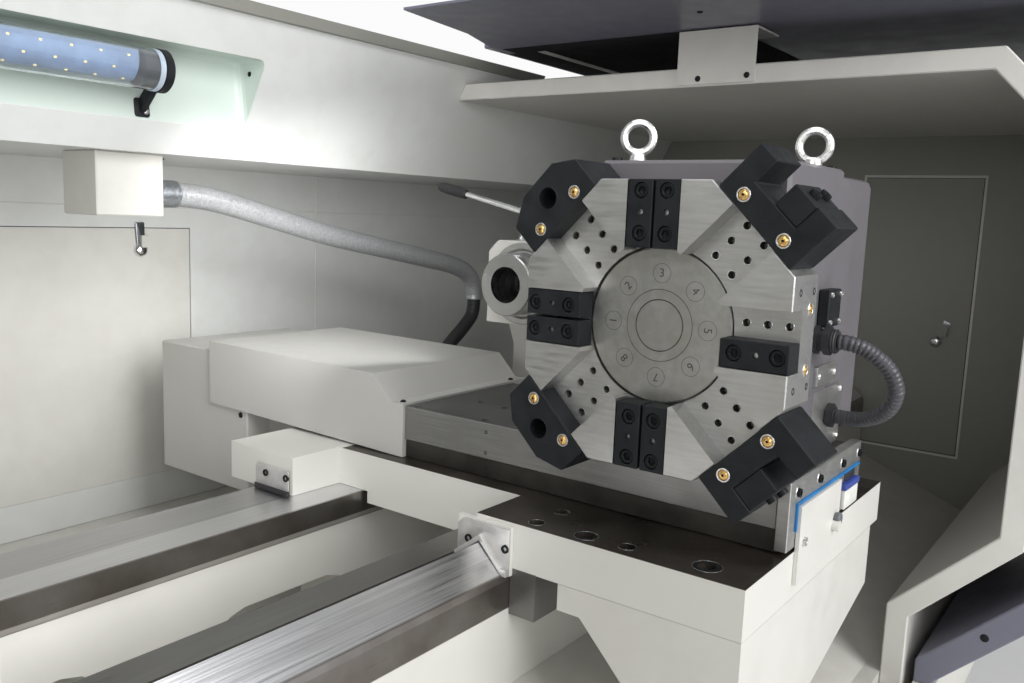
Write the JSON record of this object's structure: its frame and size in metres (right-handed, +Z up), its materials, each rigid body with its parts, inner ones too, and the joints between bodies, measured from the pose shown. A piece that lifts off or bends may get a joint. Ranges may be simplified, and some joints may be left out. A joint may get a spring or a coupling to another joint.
{
  "type": "cnc turning lathe",
  "caption": "Flat-bed turning lathe with a face-slotted disc turret, chuck spindle, tailstock, sliding doors and full guards.",
  "frame": {"origin": "on the floor under the middle of the machine's box", "axes": "+X along the bed from the headstock to the tailstock, +Y from the operator to the rear, +Z up"},
  "size_m": [3.1, 1.673, 1.619],
  "materials": {
    "mat_base": "satin",
    "mat_bed": "ground",
    "mat_headstock": "satin",
    "mat_left_guard": "satin",
    "mat_left_wall": "satin",
    "mat_rear_guard": "satin",
    "mat_right_guard": "satin",
    "mat_right_end_wall": "satin",
    "mat_door_rail_bracket": "satin",
    "mat_lamp": "clear",
    "mat_junction_box": "satin",
    "mat_cable_duct": "zinc",
    "mat_cable_hose": "matt",
    "mat_control_panel": "satin",
    "mat_right_door": "satin",
    "mat_right_window": "clear",
    "mat_left_door": "satin",
    "mat_left_window": "clear",
    "mat_rear_access_door": "satin",
    "mat_right_access_door": "satin",
    "mat_spindle": "satin",
    "mat_chuck_body": "satin",
    "mat_jaw_1": "black oxide",
    "mat_jaw_2": "black oxide",
    "mat_jaw_3": "black oxide",
    "mat_saddle": "oiled",
    "mat_apron": "satin",
    "mat_front_wiper": "satin",
    "mat_rear_wiper": "satin",
    "mat_motor_cover": "satin",
    "mat_front_cover_plate": "satin",
    "mat_cross_slide": "satin",
    "mat_slide_end_plate": "satin",
    "mat_slide_rear_cover": "satin",
    "mat_turret_housing": "satin",
    "mat_front_eyebolt": "bright",
    "mat_rear_eyebolt": "bright",
    "mat_cable_gland": "matt",
    "mat_sensor_conduit": "zinc",
    "mat_sensor_block": "black oxide",
    "mat_turret_disc": "ground",
    "mat_hub_cap": "satin",
    "mat_upper_turning_holder": "black oxide",
    "mat_lower_turning_holder": "black oxide",
    "mat_upper_boring_holder": "black oxide",
    "mat_lower_boring_holder": "black oxide",
    "mat_upper_turning_wedge": "black oxide",
    "mat_lower_turning_wedge": "black oxide",
    "mat_top_block_front": "black oxide",
    "mat_top_block_rear": "black oxide",
    "mat_bottom_block_front": "black oxide",
    "mat_bottom_block_rear": "black oxide",
    "mat_rear_block_upper": "black oxide",
    "mat_rear_block_lower": "black oxide",
    "mat_front_block": "black oxide",
    "mat_tailstock_base": "satin",
    "mat_tailstock_body": "satin",
    "mat_quill": "satin",
    "mat_handwheel": "bright",
    "mat_clamp_lever": "polished"
  },
  "bodies": {
    "machine": {"base": "mat_base", "bed": "mat_bed", "headstock": "mat_headstock", "left_guard": "mat_left_guard", "left_wall": "mat_left_wall", "rear_guard": "mat_rear_guard", "right_guard": "mat_right_guard", "right_end_wall": "mat_right_end_wall", "door_rail_bracket": "mat_door_rail_bracket", "lamp": "mat_lamp", "junction_box": "mat_junction_box", "cable_duct": "mat_cable_duct", "cable_hose": "mat_cable_hose", "control_panel": "mat_control_panel"},
    "right_door": {"right_door": "mat_right_door", "right_window": "mat_right_window"},
    "left_door": {"left_door": "mat_left_door", "left_window": "mat_left_window"},
    "rear_access": {"rear_access_door": "mat_rear_access_door"},
    "right_access": {"right_access_door": "mat_right_access_door"},
    "spindle": {"spindle": "mat_spindle", "chuck_body": "mat_chuck_body"},
    "jaw_1": {"jaw_1": "mat_jaw_1"},
    "jaw_2": {"jaw_2": "mat_jaw_2"},
    "jaw_3": {"jaw_3": "mat_jaw_3"},
    "carriage": {"saddle": "mat_saddle", "apron": "mat_apron", "front_wiper": "mat_front_wiper", "rear_wiper": "mat_rear_wiper", "motor_cover": "mat_motor_cover", "front_cover_plate": "mat_front_cover_plate"},
    "slide": {"cross_slide": "mat_cross_slide", "slide_end_plate": "mat_slide_end_plate", "slide_rear_cover": "mat_slide_rear_cover", "turret_housing": "mat_turret_housing", "front_eyebolt": "mat_front_eyebolt", "rear_eyebolt": "mat_rear_eyebolt", "cable_gland": "mat_cable_gland", "sensor_conduit": "mat_sensor_conduit", "sensor_block": "mat_sensor_block"},
    "turret": {"turret_disc": "mat_turret_disc", "hub_cap": "mat_hub_cap", "upper_turning_holder": "mat_upper_turning_holder", "lower_turning_holder": "mat_lower_turning_holder", "upper_boring_holder": "mat_upper_boring_holder", "lower_boring_holder": "mat_lower_boring_holder", "upper_turning_wedge": "mat_upper_turning_wedge", "lower_turning_wedge": "mat_lower_turning_wedge", "top_block_front": "mat_top_block_front", "top_block_rear": "mat_top_block_rear", "bottom_block_front": "mat_bottom_block_front", "bottom_block_rear": "mat_bottom_block_rear", "rear_block_upper": "mat_rear_block_upper", "rear_block_lower": "mat_rear_block_lower", "front_block": "mat_front_block"},
    "tailstock": {"tailstock_base": "mat_tailstock_base", "tailstock_body": "mat_tailstock_body"},
    "quill": {"quill": "mat_quill"},
    "handwheel": {"handwheel": "mat_handwheel"},
    "clamp_lever": {"clamp_lever": "mat_clamp_lever"}
  },
  "joints": [
    {"name": "carriage_travel", "type": "slide", "parent": "machine", "child": "carriage", "axis": [1, 0, 0], "range_m": [-0.44, 0.01]},
    {"name": "cross_travel", "type": "slide", "parent": "carriage", "child": "slide", "axis": [0, 1, 0], "range_m": [0, 0.215]},
    {"name": "turret_index", "type": "hinge", "parent": "slide", "child": "turret", "pos_m": [0.05, -0.4195, 1.15], "axis": [1, 0, 0], "continuous": true},
    {"name": "spindle_turn", "type": "hinge", "parent": "machine", "child": "spindle", "pos_m": [-0.74, 0.0155, 1.15], "axis": [1, 0, 0], "continuous": true},
    {"name": "jaw_1_travel", "type": "slide", "parent": "spindle", "child": "jaw_1", "axis": [0, 0, 1], "range_m": [-0.01, 0.004]},
    {"name": "jaw_2_travel", "type": "slide", "parent": "spindle", "child": "jaw_2", "axis": [0, -0.866, -0.5], "range_m": [-0.01, 0.004]},
    {"name": "jaw_3_travel", "type": "slide", "parent": "spindle", "child": "jaw_3", "axis": [0, 0.866, -0.5], "range_m": [-0.01, 0.004]},
    {"name": "tailstock_travel", "type": "slide", "parent": "machine", "child": "tailstock", "axis": [1, 0, 0], "range_m": [-0.01, 0.5]},
    {"name": "quill_travel", "type": "slide", "parent": "tailstock", "child": "quill", "axis": [-1, 0, 0], "range_m": [-0.05, 0.13]},
    {"name": "handwheel_turn", "type": "hinge", "parent": "tailstock", "child": "handwheel", "pos_m": [0.91, 0.0155, 1.15], "axis": [-1, 0, 0], "range_deg": [-3010, 7810]},
    {"name": "clamp_lever_turn", "type": "hinge", "parent": "tailstock", "child": "clamp_lever", "pos_m": [0.435, 0.0505, 1.222], "axis": [0, 0, 1], "range_deg": [-70, 20]},
    {"name": "right_door_travel", "type": "slide", "parent": "machine", "child": "right_door", "axis": [-1, 0, 0], "range_m": [0, 0.689]},
    {"name": "left_door_travel", "type": "slide", "parent": "machine", "child": "left_door", "axis": [1, 0, 0], "range_m": [0, 0.714]},
    {"name": "rear_access_hinge", "type": "hinge", "parent": "machine", "child": "rear_access", "pos_m": [0.01, 0.8405, 0.684], "axis": [-1, 0, 0], "range_deg": [0, 110]},
    {"name": "right_access_hinge", "type": "hinge", "parent": "machine", "child": "right_access", "pos_m": [1.5183, -0.2215, 1.15], "axis": [0, 0, 1], "range_deg": [0, 110]}
  ],
  "couplings": [
    {"joint": "jaw_2_travel", "follows": "jaw_1_travel", "ratio": 1},
    {"joint": "jaw_3_travel", "follows": "jaw_1_travel", "ratio": 1},
    {"joint": "handwheel_turn", "follows": "quill_travel", "rad_per_m": 1047.2}
  ]
}
